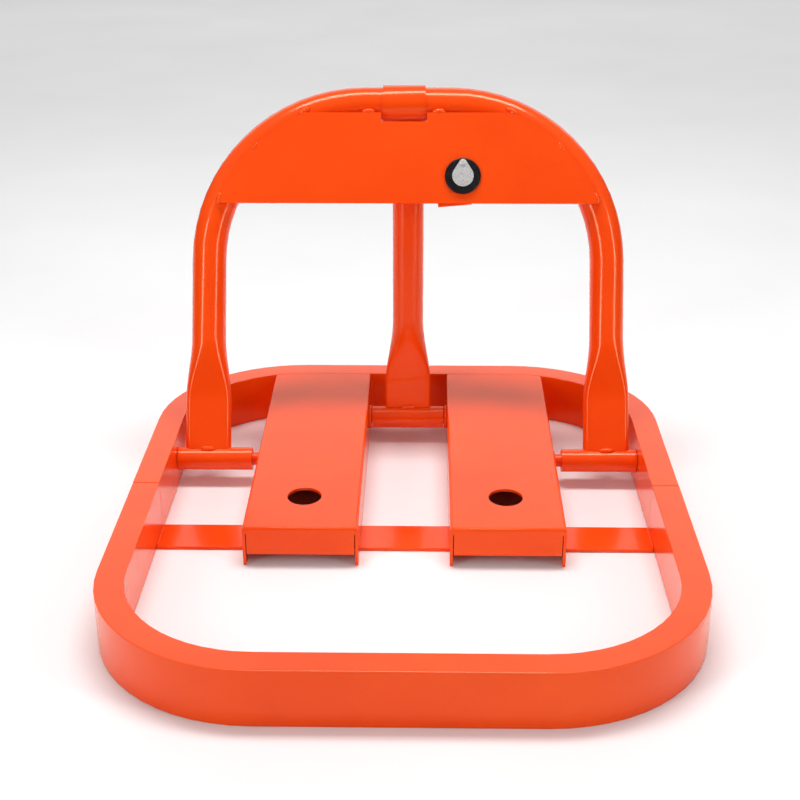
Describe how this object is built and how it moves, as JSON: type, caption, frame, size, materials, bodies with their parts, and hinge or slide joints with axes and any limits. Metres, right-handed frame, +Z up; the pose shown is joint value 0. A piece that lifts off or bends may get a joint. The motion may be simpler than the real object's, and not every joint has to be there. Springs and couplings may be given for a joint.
{
  "type": "folding parking lock",
  "caption": "Painted steel floor ring with a hinged, plated hoop held up by a telescoping rear leg and a cam lock, folding flat into the ring.",
  "frame": {"origin": "centre of the floor ring, on the floor", "axes": "+Z up, +X to the right seen from the lock's side, +Y to the back, along the ring's long sides; the hoop folds down towards -Y"},
  "size_m": [0.48, 0.556, 0.3491],
  "materials": {
    "orange_paint": "gloss",
    "dark_steel": "satin, blackened",
    "bright_steel": "brushed",
    "zinc": "zinc plated"
  },
  "bodies": {
    "base": {"ring_front_half": "orange_paint", "ring_rear_half": "orange_paint", "channel_left": "orange_paint", "channel_right": "orange_paint", "cross_strip": "orange_paint", "front_axle_left": "orange_paint", "front_axle_right": "orange_paint", "rear_axle": "orange_paint", "axle_lug_left": "orange_paint", "axle_lug_right": "orange_paint"},
    "hoop": {"hoop_tube": "orange_paint", "hoop_pivot_tube_left": "orange_paint", "hoop_pivot_tube_right": "orange_paint", "front_plate": "orange_paint", "lock_guard": "orange_paint", "lock_housing": "dark_steel", "lock_nut": "zinc", "cover_rivet": "bright_steel"},
    "lock_core": {"lock_cylinder": "bright_steel", "lock_cam": "zinc", "cam_screw": "zinc"},
    "cover": {"dust_cover": "bright_steel"},
    "sleeve": {"hinge_sleeve": "orange_paint"},
    "leg": {"leg_tube": "orange_paint", "rear_pivot_tube": "orange_paint", "striker_bracket": "orange_paint"},
    "strut": {"strut_tube": "zinc"}
  },
  "joints": [
    {"name": "hoop_fold", "type": "hinge", "parent": "base", "child": "hoop", "pos_m": [0, 0.103, 0.024], "axis": [1, 0, 0], "range_deg": [0, 114]},
    {"name": "leg_fold", "type": "hinge", "parent": "base", "child": "leg", "pos_m": [0, 0.2, 0.024], "axis": [1, 0, 0], "range_deg": [0, 97.37]},
    {"name": "strut_slide", "type": "slide", "parent": "leg", "child": "strut", "axis": [0, 0.1282, 0.9918], "range_m": [0, 0.12352]},
    {"name": "sleeve_turn", "type": "hinge", "parent": "hoop", "child": "sleeve", "pos_m": [-0.0037, 0.23966, 0.33095], "axis": [1, 0, 0], "range_deg": [-16.65, 0]},
    {"name": "lock_turn", "type": "hinge", "parent": "hoop", "child": "lock_core", "pos_m": [0.0514, 0.21099, 0.26655], "axis": [0, 0.9135, -0.4067], "range_deg": [0, 180]},
    {"name": "cover_swing", "type": "hinge", "parent": "hoop", "child": "cover", "pos_m": [0.0514, 0.19567, 0.28672], "axis": [0, -0.9135, 0.4067], "range_deg": [-100, 100]}
  ],
  "couplings": [
    {"joint": "leg_fold", "follows": "hoop_fold", "ratio": 0.85406},
    {"joint": "strut_slide", "follows": "hoop_fold", "m_per_rad": 0.062069},
    {"joint": "sleeve_turn", "follows": "hoop_fold", "ratio": -0.14594}
  ]
}
